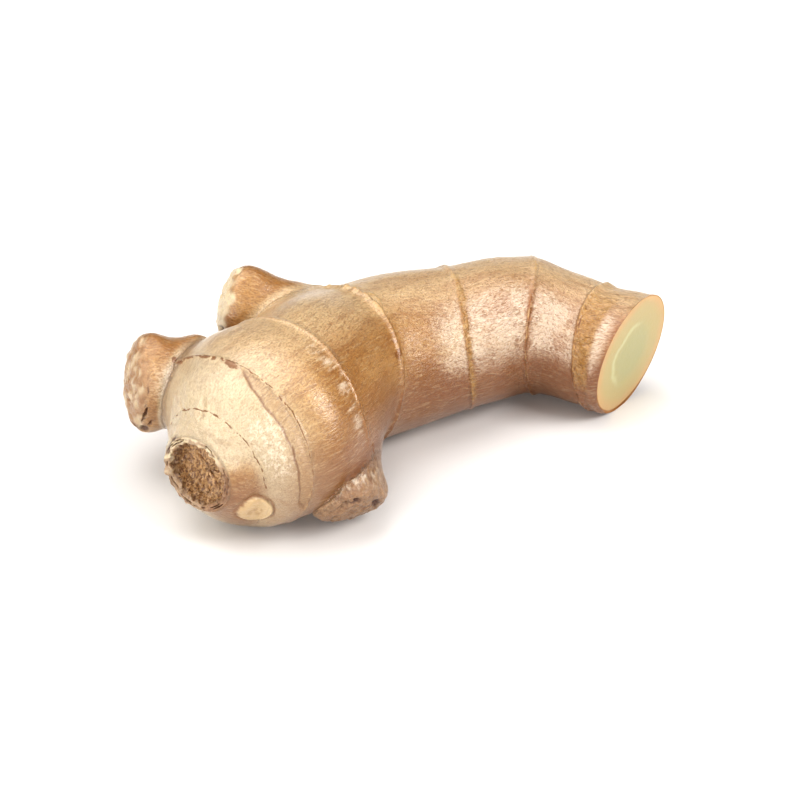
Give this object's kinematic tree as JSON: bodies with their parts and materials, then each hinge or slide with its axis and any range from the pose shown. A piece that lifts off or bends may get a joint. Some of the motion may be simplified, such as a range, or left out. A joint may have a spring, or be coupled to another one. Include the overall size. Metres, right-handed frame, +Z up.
{
  "type": "ginger root",
  "caption": "Fresh ginger root: a stout bent rhizome with growth rings, broken side-shoot stubs, a hollow break scar and one flat cut end, lying on its side.",
  "frame": {"origin": "on the surface that the root lies on, under the middle of its box", "axes": "+Z up; +X along the root's length, from the broken end towards the cut end; +Y across it, away from the side that the picture shows"},
  "size_m": [0.1242, 0.0876, 0.0415],
  "materials": {
    "skin": "satin"
  },
  "bodies": {
    "root": {"rhizome": "skin"}
  },
  "joints": []
}
